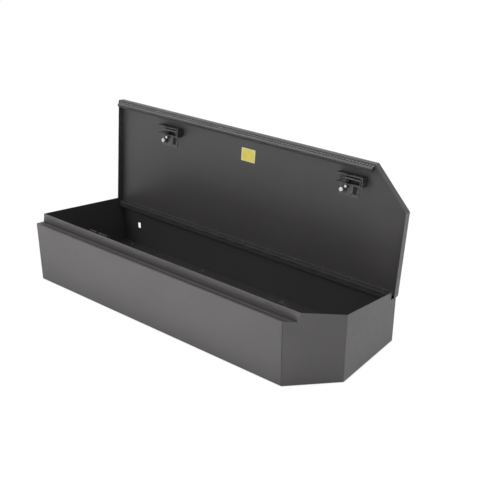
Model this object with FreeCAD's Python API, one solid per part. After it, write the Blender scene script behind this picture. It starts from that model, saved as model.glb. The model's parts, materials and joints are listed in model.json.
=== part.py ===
import FreeCAD, Part
import math
import os

V = FreeCAD.Vector

# Lockbox for the space under a bench seat. Units are millimetres and degrees.
# X runs along the box, Y from front to back, Z up. The floor's underside is Z = 0,
# and the origin is the middle of the floor's outline.

# Box
length = 1300.0
depth = 456.0
front_height = 238.0
top_slope = 9.1
ledge_depth = 34.5
riser_height = 32.6
riser_foot = 16.0
corner_cut = 142.0
sheet = 1.5
bend_radius = 1.5
left_notch_length = 28.0
left_notch_drop = 0.0
right_notch_length = 35.0
right_notch_drop = 8.0

# Holes in the box
bolt_hole_radius = 4.5
bolt_count = 4
bolt_from_end = 57.5
bolt_edge = 20.0
slot_width = 14.0
slot_height = 24.0
slot_corner = 1.5
slot_from_end = 89.0
slot_centre_height = 91.0

# Lid, closed it lies parallel to the rim
lid_rise = 7.0
lid_lean = 5.7
front_setback = 12.0
side_overlap = 7.0
corner_overlap = 3.2
side_flange = 29.0
front_lip = 8.0
flange_tail = 8.0
flange_tail_root = 3.0
stop_gap = 0.3

# Piano hinge along the back
hinge_inset = 22.6
hinge_drop = 25.3
hinge_end_gap = 4.0
hinge_leaf = 1.2
knuckle_radius = 4.0
knuckle_count = 31
knuckle_gap = 0.5
pin_radius = 2.0
pin_clearance = 0.05
knuckle_clearance = 0.7
rail_height = 16.3
rail_leg = 12.0
hinge_rivets = 11

# Rivets
rivet_radius = 1.6
rivet_head_radius = 3.2
rivet_head_height = 1.3
rivet_upset_radius = 2.6
rivet_clearance = 0.05

# Bulb seal on the lid's front lip, its bulb faces the riser
seal_wall = 1.6
seal_leg = 5.5
seal_bulb_wall = 1.6
seal_fit = 0.1
seal_rest_gap = 1.0
seal_end_gap = 3.0

# Blank sticker inside the lid
label_width = 63.0
label_height = 49.5
label_thickness = 0.2
label_corner = 3.0
label_x = -9.5
label_setback = 92.3

# Latches, two alike
lock_from_end = 240.0
lock_shift = -8.0
latch_setback = 43.5
housing_left = 16.0
housing_right = 89.0
housing_width = 33.0
housing_height = 34.0
housing_plate = 2.5
slide_bar = 4.0
slide_bar_offset = -6.0
slide_bar_top = 9.0
slide_bar_margin = 7.0
cross_pin_radius = 3.5
cross_pin_depth = 27.5
cross_pin_first = 21.0
cross_pin_second = 78.0
cross_pin_overhang = 3.5
slot_clearance = 0.35
clip_radius = 6.0
clip_thickness = 1.0
clip_gap = 0.5
arm_depth = 8.0
arm_thickness = 3.0
arm_width = 16.0
arm_end_wall = 2.0
arm_window_gap = 1.0

# Key lock that drives the slide
lock_offset = 46.0
lock_head_radius = 13.0
lock_head_height = 3.0
lock_head_round = 1.0
barrel_radius = 9.5
barrel_clearance = 0.1
barrel_end_depth = 11.5
nut_flats = 25.0
nut_height = 5.0
plug_radius = 6.0
plug_clearance = 0.05
key_slot_width = 1.4
key_slot_height = 7.5
key_slot_depth = 10.0
tail_side = 7.0
tail_clearance = 0.05
crank_radius = 22.0
crank_turn = 90.0
crank_gap = 0.5
crank_thickness = 3.0
crank_hub_radius = 9.0
crank_tip_radius = 6.0
crank_pin_radius = 2.5
crank_pin_head_radius = 4.5
crank_pin_head_height = 1.5
crank_slot_clearance = 1.0
screw_radius = 1.9
screw_head_radius = 8.0
screw_head_height = 4.0
screw_length = 6.0
lock_plate_left = 16.0
lock_plate_right = 62.0
lock_plate_reach = 67.0
lock_plate_gap = 0.5
lock_plate_notch_width = 16.0
lock_plate_notch_edge = 8.0
lock_plate_leg = 26.0
lock_plate_strip = 10.0

# Strikers on the sealing riser, two alike
striker_plate = 3.0
striker_top_gap = 4.0
striker_lip_drop = 13.0
striker_floor_gap = 1.8
striker_side = 3.0
striker_play = 2.0
striker_hook = 4.5

# Values worked out from the driving dimensions
half = length / 2
y_front = -depth / 2
y_back = depth / 2
slope = math.radians(top_slope)
slope_cos = math.cos(slope)
slope_sin = math.sin(slope)
outer_bend = bend_radius + sheet
riser_top = V(
    0,
    y_front + ledge_depth * slope_cos + riser_height * slope_sin,
    front_height - ledge_depth * slope_sin + riser_height * slope_cos,
)


def rim_z(y):
    """Height of the rim plane at a depth y."""
    return riser_top.z - (y - riser_top.y) * math.tan(slope)


# Closed lid: x along the box, q back from the front flange's face, w up from the lid's top face
lid_y = y_front + front_setback
lid_origin = V(0, lid_y, rim_z(lid_y) + lid_rise / slope_cos)
hinge_y = y_back - hinge_inset
hinge = V(0, hinge_y, rim_z(hinge_y) + (lid_rise - hinge_drop) / slope_cos)
hinge_q = (hinge.y - lid_origin.y) * slope_cos - (hinge.z - lid_origin.z) * slope_sin
lid_length = hinge_q - knuckle_radius + hinge_leaf + sheet
open_angle = 90 + lid_lean - top_slope
ledge_q = -front_setback * slope_cos + (lid_origin.z - front_height) * slope_sin
riser_q = ledge_q + ledge_depth
latch_q = riser_q + latch_setback


def lid_place(shape):
    """Carry a shape from the closed lid's own frame to the open lid."""
    placed = shape.copy()
    placed.rotate(V(0, 0, 0), V(1, 0, 0), -top_slope)
    placed.translate(lid_origin)
    placed.rotate(hinge, V(1, 0, 0), -open_angle)
    return placed


def ledge_place(shape):
    """Carry a shape from a frame along the ledge (x, s back, t up) to the box."""
    placed = shape.copy()
    placed.rotate(V(0, 0, 0), V(1, 0, 0), -top_slope)
    placed.translate(V(0, y_front, front_height))
    return placed


def stop_height():
    """Top of the back wall: just under the open lid's rear flange, which rests there."""
    lean = math.radians(lid_lean)
    run = y_back - hinge.y
    behind_axis = lid_length - hinge_q
    return hinge.z - behind_axis / math.cos(lean) - run * math.tan(lean) - stop_gap


back_height = stop_height()
rail_front = hinge.y - knuckle_radius + hinge_leaf
rail_top = hinge.z - knuckle_radius - knuckle_clearance
rail_floor = rail_top - rail_height


# Shape helpers

def rounded_wire(points, radii):
    """Closed wire through points, with each corner rounded to its radius."""
    corners = []
    count = len(points)
    for i in range(count):
        corner = points[i]
        back = (points[i - 1] - corner).normalize()
        ahead = (points[(i + 1) % count] - corner).normalize()
        if radii[i] == 0:
            corners.append((corner, None, corner))
            continue
        half_angle = back.getAngle(ahead) / 2
        reach = radii[i] / math.tan(half_angle)
        inward = (back + ahead).normalize()
        middle = corner + inward * (radii[i] / math.sin(half_angle) - radii[i])
        corners.append((corner + back * reach, middle, corner + ahead * reach))
    edges = []
    for i in range(count):
        start, middle, end = corners[i]
        if middle is not None:
            edges.append(Part.Arc(start, middle, end).toShape())
        edges.append(Part.LineSegment(end, corners[(i + 1) % count][0]).toShape())
    return Part.Wire(edges)


def section_prism(points, radii, x_low, x_high):
    """Solid of a section in the YZ plane, swept along X."""
    placed = [V(x_low, a, b) for a, b in points]
    face = Part.Face(rounded_wire(placed, radii))
    return face.extrude(V(x_high - x_low, 0, 0))


def plan_prism(points, z_low, z_high):
    """Solid of an outline in the XY plane, raised along Z."""
    placed = [V(a, b, z_low) for a, b in points]
    face = Part.Face(Part.makePolygon(placed + placed[:1]))
    return face.extrude(V(0, 0, z_high - z_low))


def turn_sign(a, b, c):
    """Positive where the path a, b, c turns left."""
    return (b[0] - a[0]) * (c[1] - b[1]) - (b[1] - a[1]) * (c[0] - b[0])


def right_normal(a, b):
    """Unit vector to the right of the way from a to b."""
    run = math.hypot(b[0] - a[0], b[1] - a[1])
    return ((b[1] - a[1]) / run, -(b[0] - a[0]) / run)


def folded_sheet(path, thickness, side, fold, x_low, x_high):
    """Sheet folded along a path of points (y, z); side is 1 for material right of the path, -1 for left."""
    normals = [right_normal(path[i], path[i + 1]) for i in range(len(path) - 1)]
    near_radii = []
    far_radii = []
    far = []
    for i, point in enumerate(path):
        before = normals[max(i - 1, 0)]
        after = normals[min(i, len(normals) - 1)]
        share = side * thickness / (1 + before[0] * after[0] + before[1] * after[1])
        far.append((point[0] + (before[0] + after[0]) * share, point[1] + (before[1] + after[1]) * share))
        at_end = i == 0 or i == len(path) - 1
        inside_near = not at_end and turn_sign(path[i - 1], point, path[i + 1]) * side > 0
        near_radii.append(0 if at_end else fold if inside_near else fold + thickness)
        far_radii.append(0 if at_end else fold + thickness if inside_near else fold)
    return section_prism(path + far[::-1], near_radii + far_radii[::-1], x_low, x_high)


def inset(points, distance):
    """Convex outline, counter-clockwise, moved inwards by a distance."""
    moved = []
    count = len(points)
    for i in range(count):
        before = right_normal(points[i - 1], points[i])
        after = right_normal(points[i], points[(i + 1) % count])
        share = distance / (1 + before[0] * after[0] + before[1] * after[1])
        x, y = points[i]
        moved.append((x - (before[0] + after[0]) * share, y - (before[1] + after[1]) * share))
    return moved


def rivet(seat, direction, grip):
    """Blind rivet: domed head on the seat, shank through the grip, upset end beyond it."""
    crown = (rivet_head_radius ** 2 + rivet_head_height ** 2) / (2 * rivet_head_height)
    lean = math.asin(rivet_head_radius / crown) / 2
    middle = V(crown * math.sin(lean), 0, crown - rivet_head_height - crown * math.cos(lean))
    outline = [
        V(rivet_head_radius, 0, 0),
        V(rivet_radius, 0, 0),
        V(rivet_radius, 0, grip),
        V(rivet_upset_radius, 0, grip),
        V(rivet_upset_radius, 0, grip + rivet_head_height),
        V(0, 0, grip + rivet_head_height),
        V(0, 0, -rivet_head_height),
    ]
    dome = Part.Arc(outline[-1], middle, outline[0]).toShape()
    half_section = Part.Face(Part.Wire([dome] + Part.makePolygon(outline).Edges))
    turned = half_section.revolve(V(0, 0, 0), V(0, 0, 1), 360)
    turned.Placement = FreeCAD.Placement(seat, FreeCAD.Rotation(V(0, 0, 1), direction))
    return turned


def rivet_hole(seat, direction, grip):
    """Hole through the grip for a rivet."""
    start = seat - direction * rivet_head_height
    return Part.makeCylinder(rivet_radius + rivet_clearance, grip + 2 * rivet_head_height, start, direction)


def spread(count, low, high):
    """Evenly spaced places from low to high."""
    return [low + (high - low) * i / (count - 1) for i in range(count)]


# Outlines of the box

# Corner cut in plan, on the wall's outer face and on its inner face
cut_start = half - corner_cut
cut_shift = sheet * math.sqrt(2)
cut_beyond = plan_prism(
    [
        (cut_start - cut_shift - depth, y_front - depth),
        (half + depth, y_front - depth),
        (half + depth, y_front + corner_cut + cut_shift + depth),
    ],
    -depth,
    front_height + depth,
)
inner_left = -half + sheet
inner_right = half - sheet


def end_wall(notch_length, notch_drop, x_low, x_high):
    """Wall at an end of the box, with a notch that the lid's rear edge swings through."""
    notch_y = y_back - notch_length
    notch_floor = back_height - notch_drop
    section = [
        (y_front, 0),
        (y_front, front_height),
        (y_front + ledge_depth * slope_cos, front_height - ledge_depth * slope_sin),
        (riser_top.y, riser_top.z),
        (notch_y, rim_z(notch_y)),
        (notch_y, notch_floor),
        (y_back, notch_floor),
        (y_back, 0),
    ]
    radii = [0, outer_bend, 0, 0, outer_bend, outer_bend, 0, 0]
    return section_prism(section, radii, x_low, x_high)


def make_floor_panel():
    inner_corner = (cut_start - cut_shift + sheet, y_front + corner_cut - sheet + cut_shift)
    outline = [
        (inner_left, y_front + sheet),
        (inner_corner[0], y_front + sheet),
        (inner_right, inner_corner[1]),
        (inner_right, y_back - sheet),
        (inner_left, y_back - sheet),
    ]
    floor = plan_prism(outline, 0, sheet)
    for x in spread(bolt_count, bolt_from_end - half, half - bolt_from_end):
        hole = Part.makeCylinder(bolt_hole_radius, sheet, V(x, y_back - bolt_edge, 0))
        floor = floor.cut(hole)
    return floor


def make_front_panel():
    path = [
        (y_front, 0),
        (y_front, front_height),
        (
            y_front + (ledge_depth + sheet) * slope_cos,
            front_height - (ledge_depth + sheet) * slope_sin,
        ),
    ]
    panel = folded_sheet(path, sheet, 1, bend_radius, inner_left, half)
    return panel.cut(cut_beyond)


def make_front_riser():
    path = [(ledge_depth - riser_foot, sheet), (ledge_depth, sheet), (ledge_depth, riser_height)]
    riser = ledge_place(folded_sheet(path, sheet, 1, bend_radius, inner_left, half))
    return riser.cut(cut_beyond)


def make_back_panel():
    panel = Part.makeBox(length - 2 * sheet, sheet, back_height, V(inner_left, y_back - sheet, 0))
    centre = V(-half + slot_from_end, y_back - sheet, slot_centre_height)
    slot = Part.makeBox(
        slot_width, sheet, slot_height, centre - V(slot_width / 2, 0, slot_height / 2)
    )
    slot = slot.makeFillet(slot_corner, [e for e in slot.Edges if abs(e.tangentAt(0).y) > 0.9])
    return panel.cut(slot)


def make_left_end_panel():
    return end_wall(left_notch_length, left_notch_drop, -half, inner_left)


def make_right_end_panel():
    corner_y = y_front + corner_cut
    outline = [
        (cut_start - cut_shift, y_front),
        (cut_start, y_front),
        (half, corner_y),
        (half, y_back),
        (inner_right, y_back),
        (inner_right, corner_y - sheet + cut_shift),
    ]
    wall = plan_prism(outline, 0, front_height + depth)
    folds = [e for e in wall.Edges if abs(e.tangentAt(0).z) > 0.9]
    outer_fold = [e for e in folds if abs(e.Vertexes[0].X - half) + abs(e.Vertexes[0].Y - corner_y) < 0.01]
    wall = wall.makeFillet(outer_bend, outer_fold)
    return wall.common(end_wall(right_notch_length, right_notch_drop, -half, half))


def make_hinge_rail():
    inner_back = y_back - sheet
    path = [
        (inner_back, rail_floor - rail_leg),
        (inner_back, rail_floor + sheet),
        (rail_front + sheet, rail_floor + sheet),
        (rail_front + sheet, rail_top),
    ]
    rail = folded_sheet(path, sheet, -1, bend_radius, inner_left, inner_right)
    for seat in body_rivet_seats:
        rail = rail.cut(rivet_hole(seat, V(0, 1, 0), hinge_leaf + sheet))
    return rail


# Piano hinge

hinge_left = inner_left + hinge_end_gap
hinge_length = length - 2 * sheet - 2 * hinge_end_gap
knuckle_pitch = hinge_length / knuckle_count
rivet_margin = knuckle_pitch
rivet_rows = spread(hinge_rivets, hinge_left + rivet_margin, hinge_left + hinge_length - rivet_margin)
body_leaf_low = rail_floor + outer_bend
body_rivet_z = (body_leaf_low + rail_top) / 2
body_rivet_seats = [V(x, rail_front - hinge_leaf, body_rivet_z) for x in rivet_rows]
lid_leaf_high = -sheet - outer_bend
lid_rivet_w = (lid_leaf_high - hinge_drop + knuckle_radius) / 2
lid_rivet_seats = [V(x, lid_length - sheet - hinge_leaf, lid_rivet_w) for x in rivet_rows]


def knuckled_leaf(axis_y, axis_z, far_z, first):
    """Hinge leaf in a frame with its knuckles on an X axis; first is 0 or 1 and picks every other knuckle."""
    toward = 1 if far_z > axis_z else -1
    near_z = axis_z + toward * (knuckle_radius + knuckle_clearance)
    leaf_front = axis_y - knuckle_radius
    leaf_corner = V(hinge_left, leaf_front, min(near_z, far_z))
    leaf = Part.makeBox(hinge_length, hinge_leaf, abs(far_z - near_z), leaf_corner)
    pieces = []
    for i in range(first, knuckle_count, 2):
        x = hinge_left + i * knuckle_pitch + knuckle_gap / 2
        width = knuckle_pitch - knuckle_gap
        pieces.append(Part.makeCylinder(knuckle_radius, width, V(x, axis_y, axis_z), V(1, 0, 0)))
        low = min(axis_z, near_z)
        pieces.append(Part.makeBox(width, hinge_leaf, abs(near_z - axis_z), V(x, leaf_front, low)))
    leaf = leaf.fuse(pieces).removeSplitter()
    bore_start = V(hinge_left, axis_y, axis_z)
    bore = Part.makeCylinder(pin_radius + pin_clearance, hinge_length, bore_start, V(1, 0, 0))
    return leaf.cut(bore)


def make_hinge_body_leaf():
    leaf = knuckled_leaf(hinge.y, hinge.z, body_leaf_low, 0)
    for seat in body_rivet_seats:
        leaf = leaf.cut(rivet_hole(seat, V(0, 1, 0), hinge_leaf + sheet))
    return leaf


def make_hinge_lid_leaf():
    leaf = knuckled_leaf(hinge_q, -hinge_drop, lid_leaf_high, 1)
    for seat in lid_rivet_seats:
        leaf = leaf.cut(rivet_hole(seat, V(0, 1, 0), hinge_leaf + sheet))
    return lid_place(leaf)


def make_hinge_pin():
    start = V(hinge_left, hinge.y, hinge.z)
    return Part.makeCylinder(pin_radius, hinge_length, start, V(1, 0, 0))


def make_hinge_body_rivets():
    return Part.makeCompound([rivet(seat, V(0, 1, 0), hinge_leaf + sheet) for seat in body_rivet_seats])


def make_hinge_lid_rivets():
    rivets = [rivet(seat, V(0, 1, 0), hinge_leaf + sheet) for seat in lid_rivet_seats]
    return lid_place(Part.makeCompound(rivets))


# Lid

lid_left = -half - side_overlap
lid_right = half + side_overlap
cut_out = corner_overlap * math.sqrt(2)
lid_cut_x = cut_start + front_setback + cut_out
lid_cut_q = (lid_right - cut_start - cut_out - front_setback) / slope_cos
lid_outline = [
    (lid_left, 0),
    (lid_cut_x, 0),
    (lid_right, lid_cut_q),
    (lid_right, lid_length),
    (lid_left, lid_length),
]
lid_inner = inset(lid_outline, sheet)


def top_edges(solid, height):
    """Edges of a solid that lie at a height."""
    return [e for e in solid.Edges if all(abs(v.Z - height) < 0.001 for v in e.Vertexes)]


def make_lid_panel():
    outer = plan_prism(lid_outline, -side_flange, 0)
    outer = outer.makeFillet(outer_bend, top_edges(outer, 0))
    inner = plan_prism(lid_inner, -side_flange, -sheet)
    inner = inner.makeFillet(bend_radius, top_edges(inner, -sheet))
    pan = outer.cut(inner)
    lip_root = -side_flange + 2 * outer_bend
    lip = folded_sheet(
        [(0, lip_root), (0, -side_flange), (sheet + front_lip, -side_flange)],
        sheet,
        -1,
        bend_radius,
        lid_inner[0][0],
        lid_inner[1][0],
    )
    corner_block = Part.makeBox(
        lid_inner[1][0] - lid_inner[0][0], sheet, 2 * outer_bend, V(lid_inner[0][0], 0, -side_flange)
    )
    pan = pan.cut(corner_block).fuse(lip).removeSplitter()
    tail_section = [
        (lid_length - side_flange, -side_flange),
        (lid_length + flange_tail, -side_flange),
        (lid_length + flange_tail_root, -outer_bend),
        (lid_length - side_flange, -outer_bend),
    ]
    for x in (lid_left, lid_right - sheet):
        tail = section_prism(tail_section, [0, bend_radius, bend_radius, 0], x, x + sheet)
        pan = pan.fuse(tail).removeSplitter()
    rear_flange = hinge_drop - knuckle_radius - knuckle_clearance
    rear_run = lid_inner[3][0] - lid_inner[4][0]
    rear_corner = V(lid_inner[4][0], lid_length - sheet, -side_flange)
    pan = pan.cut(Part.makeBox(rear_run, sheet, side_flange - rear_flange, rear_corner))
    for seat in lid_rivet_seats:
        pan = pan.cut(rivet_hole(seat, V(0, 1, 0), hinge_leaf + sheet))
    for x in lock_places:
        hole = Part.makeCylinder(barrel_radius + barrel_clearance, sheet, V(x, latch_q + lock_offset, -sheet))
        pan = pan.cut(hole)
        for seat in plate_rivet_seats(x):
            pan = pan.cut(rivet_hole(seat, V(0, 0, 1), housing_plate + sheet))
    return lid_place(pan)


def make_front_edge_seal():
    lip_end = sheet + front_lip
    lip_low = -side_flange - seal_fit
    lip_high = -side_flange + sheet + seal_fit
    base_near = lip_end + seal_fit
    base_far = base_near + seal_wall
    leg_end = base_near - seal_leg
    left = lid_inner[0][0] + seal_fit
    right = lid_inner[1][0] - seal_end_gap
    channel = [
        (leg_end, lip_low),
        (leg_end, lip_low - seal_wall),
        (base_far, lip_low - seal_wall),
        (base_far, lip_high + seal_wall),
        (leg_end, lip_high + seal_wall),
        (leg_end, lip_high),
        (base_near, lip_high),
        (base_near, lip_low),
    ]
    strip = section_prism(channel, [0] * len(channel), left, right)
    bulb_near = base_near + seal_wall / 2
    bulb_radius = (riser_q - seal_rest_gap - bulb_near) / 2
    axis = V(left, bulb_near + bulb_radius, -side_flange + sheet / 2)
    bulb = Part.makeCylinder(bulb_radius, right - left, axis, V(1, 0, 0))
    hollow = Part.makeCylinder(bulb_radius - seal_bulb_wall, right - left, axis, V(1, 0, 0))
    strip = strip.fuse(bulb).cut(hollow)
    lip_space = Part.makeBox(right - left, base_near - leg_end, lip_high - lip_low, V(left, leg_end, lip_low))
    return lid_place(strip.cut(lip_space).removeSplitter())


def make_label():
    corner = V(label_x - label_width / 2, label_setback - label_height / 2, -sheet - label_thickness)
    label = Part.makeBox(label_width, label_height, label_thickness, corner)
    label = label.makeFillet(label_corner, [e for e in label.Edges if abs(e.tangentAt(0).z) > 0.9])
    return lid_place(label)


# Latches: a runs along X from the lock, p back from the channel's middle, n in from the lid's inner face

lock_places = [lock_shift - half + lock_from_end, lock_shift + half - lock_from_end]
latch_names = ["left", "right"]
swing = math.radians(crank_turn / 2)
slide_travel = 2 * crank_radius * math.sin(swing)
crank_pin_a = crank_radius * math.sin(swing)
crank_pin_p = lock_offset - crank_radius * math.cos(swing)
channel_half = housing_width / 2
channel_inner = channel_half - housing_plate
crank_depth = barrel_end_depth + crank_gap
pin_slot_radius = cross_pin_radius + slot_clearance
cross_pins = [cross_pin_first, cross_pin_second]


def latch_box(x, a, p, n):
    """Box between two places each of a, p and n."""
    corner = V(x + a[0], latch_q + p[0], -sheet - n[1])
    return Part.makeBox(a[1] - a[0], p[1] - p[0], n[1] - n[0], corner)


def latch_post(x, a, p, n, radius):
    """Cylinder along n at a place."""
    return Part.makeCylinder(radius, n[1] - n[0], V(x + a, latch_q + p, -sheet - n[1]))


def latch_rod(x, a, n, p, radius):
    """Cylinder along p at a place."""
    return Part.makeCylinder(radius, p[1] - p[0], V(x + a, latch_q + p[0], -sheet - n), V(0, 1, 0))


def stadium_along_x(x, a_low, a_high, n, p, radius):
    """Slot cutter along X with round ends, through p."""
    ends = [latch_rod(x, a, n, p, radius) for a in (a_low, a_high)]
    middle = latch_box(x, (a_low, a_high), p, (n - radius, n + radius))
    return middle.fuse(ends)


def plate_rivet_seats(x):
    """Seats of the rivets that hold the housing and the lock plate, heads inside the lid."""
    channel = [(-housing_left / 2, 0), ((cross_pin_first + cross_pin_second) / 2, 0), (cross_pin_second, 0)]
    edge = 2 * rivet_head_radius
    plate = [
        (edge - lock_plate_left, channel_half + lock_plate_gap + edge),
        (lock_plate_right - lock_plate_notch_edge / 2, lock_plate_reach - lock_plate_leg / 2),
        (lock_plate_right - lock_plate_notch_edge - lock_plate_notch_width - edge, lock_plate_reach - edge),
    ]
    return [V(x + a, latch_q + p, -sheet - housing_plate) for a, p in channel + plate]


def make_latch_housing(x):
    base = latch_q
    path = [
        (base - channel_half, -sheet - housing_height),
        (base - channel_half, -sheet),
        (base + channel_half, -sheet),
        (base + channel_half, -sheet - housing_height),
    ]
    channel = folded_sheet(path, housing_plate, 1, bend_radius, x - housing_left, x + housing_right)
    inside = (-channel_inner, channel_inner)
    end_plate = latch_box(x, (housing_right - housing_plate, housing_right), inside, (0, housing_height))
    channel = channel.fuse(end_plate).removeSplitter()
    across = (-channel_half, channel_half)
    for a in cross_pins:
        slot = stadium_along_x(x, a - slide_travel, a, cross_pin_depth, across, pin_slot_radius)
        channel = channel.cut(slot)
    half_arm = arm_width / 2 + arm_window_gap
    window_a = (crank_pin_a - slide_travel - half_arm, crank_pin_a + half_arm)
    window_n = (arm_depth - arm_window_gap, crank_depth + crank_thickness + arm_window_gap)
    channel = channel.cut(latch_box(x, window_a, (channel_inner, channel_half), window_n))
    for seat in plate_rivet_seats(x)[:3]:
        channel = channel.cut(rivet_hole(seat, V(0, 0, 1), housing_plate + sheet))
    return lid_place(channel)


def make_lock_plate(x):
    reach = (channel_half + lock_plate_gap, lock_plate_reach)
    plate = latch_box(x, (-lock_plate_left, lock_plate_right), reach, (0, housing_plate))
    notch_high = lock_plate_right - lock_plate_notch_edge
    notch_low = notch_high - lock_plate_notch_width
    leg_top = lock_plate_reach - lock_plate_leg
    notch_p = (reach[0], lock_plate_reach - lock_plate_strip)
    plate = plate.cut(latch_box(x, (notch_low, notch_high), notch_p, (0, housing_plate)))
    plate = plate.cut(latch_box(x, (notch_high, lock_plate_right), (reach[0], leg_top), (0, housing_plate)))
    plate = plate.cut(latch_post(x, 0, lock_offset, (0, housing_plate), barrel_radius + barrel_clearance))
    for seat in plate_rivet_seats(x)[3:]:
        plate = plate.cut(rivet_hole(seat, V(0, 0, 1), housing_plate + sheet))
    return lid_place(plate)


def make_latch_rivets(x):
    return lid_place(
        Part.makeCompound([rivet(seat, V(0, 0, 1), housing_plate + sheet) for seat in plate_rivet_seats(x)])
    )


def make_lock_body(x):
    barrel = latch_post(x, 0, lock_offset, (-sheet, barrel_end_depth), barrel_radius)
    head = latch_post(x, 0, lock_offset, (-sheet - lock_head_height, -sheet), lock_head_radius)
    head = head.makeFillet(lock_head_round, top_edges(head, lock_head_height))
    bore_span = (-sheet - lock_head_height, barrel_end_depth)
    bore = latch_post(x, 0, lock_offset, bore_span, plug_radius + plug_clearance)
    return lid_place(barrel.fuse(head).removeSplitter().cut(bore))


def make_lock_nut(x):
    corner_radius = nut_flats / 2 / math.cos(math.pi / 6)
    centre = V(x, latch_q + lock_offset, -sheet - housing_plate - nut_height)
    corners = [
        centre + V(corner_radius * math.cos(i * math.pi / 3), corner_radius * math.sin(i * math.pi / 3), 0)
        for i in range(6)
    ]
    nut = Part.Face(Part.makePolygon(corners + corners[:1])).extrude(V(0, 0, nut_height))
    span = (housing_plate, housing_plate + nut_height)
    return lid_place(nut.cut(latch_post(x, 0, lock_offset, span, barrel_radius + barrel_clearance)))


def make_key_plug(x):
    plug = latch_post(x, 0, lock_offset, (-sheet - lock_head_height, barrel_end_depth), plug_radius)
    slot_n = (-sheet - lock_head_height, key_slot_depth - sheet - lock_head_height)
    slot_a = (-key_slot_width / 2, key_slot_width / 2)
    slot_p = (lock_offset - key_slot_height / 2, lock_offset + key_slot_height / 2)
    plug = plug.cut(latch_box(x, slot_a, slot_p, slot_n))
    tail_a = (-tail_side / 2, tail_side / 2)
    tail_p = (lock_offset - tail_side / 2, lock_offset + tail_side / 2)
    tail = latch_box(x, tail_a, tail_p, (barrel_end_depth, crank_depth + crank_thickness))
    screw_span = (crank_depth + crank_thickness - screw_length, crank_depth + crank_thickness)
    screw_hole = latch_post(x, 0, lock_offset, screw_span, screw_radius + rivet_clearance)
    return lid_place(plug.fuse(tail).removeSplitter().cut(screw_hole))


def make_lock_crank(x):
    span = (crank_depth, crank_depth + crank_thickness)
    hub = latch_post(x, 0, lock_offset, span, crank_hub_radius)
    tip = latch_post(x, crank_pin_a, crank_pin_p, span, crank_tip_radius)
    way = V(crank_pin_a, crank_pin_p - lock_offset, 0).normalize()
    side = V(-way.y, way.x, 0)
    centre = V(x, latch_q + lock_offset, -sheet - span[1])
    far = V(x + crank_pin_a, latch_q + crank_pin_p, -sheet - span[1])
    corners = [
        centre + side * crank_tip_radius,
        centre - side * crank_tip_radius,
        far - side * crank_tip_radius,
        far + side * crank_tip_radius,
    ]
    web = Part.Face(Part.makePolygon(corners + corners[:1])).extrude(V(0, 0, crank_thickness))
    crank = hub.fuse([tip, web]).removeSplitter()
    half_hole = tail_side / 2 + tail_clearance
    hole_p = (lock_offset - half_hole, lock_offset + half_hole)
    crank = crank.cut(latch_box(x, (-half_hole, half_hole), hole_p, span))
    pin_hole = latch_post(x, crank_pin_a, crank_pin_p, span, crank_pin_radius + rivet_clearance)
    return lid_place(crank.cut(pin_hole))


def make_crank_pin(x):
    face = crank_depth + crank_thickness
    shank = latch_post(x, crank_pin_a, crank_pin_p, (arm_depth - arm_window_gap, face), crank_pin_radius)
    head_span = (face, face + crank_pin_head_height)
    head = latch_post(x, crank_pin_a, crank_pin_p, head_span, crank_pin_head_radius)
    return lid_place(shank.fuse(head).removeSplitter())


def make_crank_screw(x):
    face = crank_depth + crank_thickness
    shank = latch_post(x, 0, lock_offset, (face - screw_length, face), screw_radius)
    head = latch_post(x, 0, lock_offset, (face, face + screw_head_height), screw_head_radius)
    return lid_place(shank.fuse(head).removeSplitter())


def make_latch_slide(x):
    bar_p = (slide_bar_offset - slide_bar / 2, slide_bar_offset + slide_bar / 2)
    bar_a = (cross_pin_first - slide_bar_margin, cross_pin_second + slide_bar_margin)
    bar = latch_box(x, bar_a, bar_p, (slide_bar_top, cross_pin_depth + cross_pin_radius + slide_bar))
    highest = lock_offset - crank_radius
    slot_half = crank_pin_radius + crank_slot_clearance
    arm_a = (crank_pin_a - arm_width / 2, crank_pin_a + arm_width / 2)
    arm_end = crank_pin_p + slot_half + arm_end_wall
    arm_n = (arm_depth, arm_depth + arm_thickness)
    arm = latch_box(x, arm_a, (bar_p[0], arm_end), arm_n)
    neck = latch_box(x, (arm_a[0], bar_a[0] + arm_width), bar_p, (arm_depth, slide_bar_top + arm_thickness))
    slide = bar.fuse([arm, neck]).removeSplitter()
    slot_a = (crank_pin_a - slot_half, crank_pin_a + slot_half)
    slide = slide.cut(latch_box(x, slot_a, (highest - slot_half, crank_pin_p + slot_half), arm_n))
    for a in cross_pins:
        slide = slide.cut(latch_rod(x, a, cross_pin_depth, bar_p, cross_pin_radius + rivet_clearance))
    return lid_place(slide)


def make_latch_pins(x):
    reach = channel_half + cross_pin_overhang
    rods = [latch_rod(x, a, cross_pin_depth, (-reach, reach), cross_pin_radius) for a in cross_pins]
    return lid_place(Part.makeCompound(rods))


def make_pin_clips(x):
    clips = []
    near = channel_half + clip_gap
    for a in cross_pins:
        for p in ((near, near + clip_thickness), (-near - clip_thickness, -near)):
            ring = latch_rod(x, a, cross_pin_depth, p, clip_radius)
            clips.append(ring.cut(latch_rod(x, a, cross_pin_depth, p, cross_pin_radius + rivet_clearance)))
    return lid_place(Part.makeCompound(clips))


# Strikers: s is back from the riser's front face and t up from the ledge, as in ledge_place

rim_t = riser_height
lip_s = ledge_depth + latch_setback
striker_floor_t = rim_t + lid_rise - sheet - housing_height - striker_floor_gap
striker_low_t = striker_floor_t - striker_plate
pin_t = rim_t + lid_rise - sheet - cross_pin_depth
lip_top_t = rim_t - striker_lip_drop
riser_back_s = ledge_depth + sheet


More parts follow.
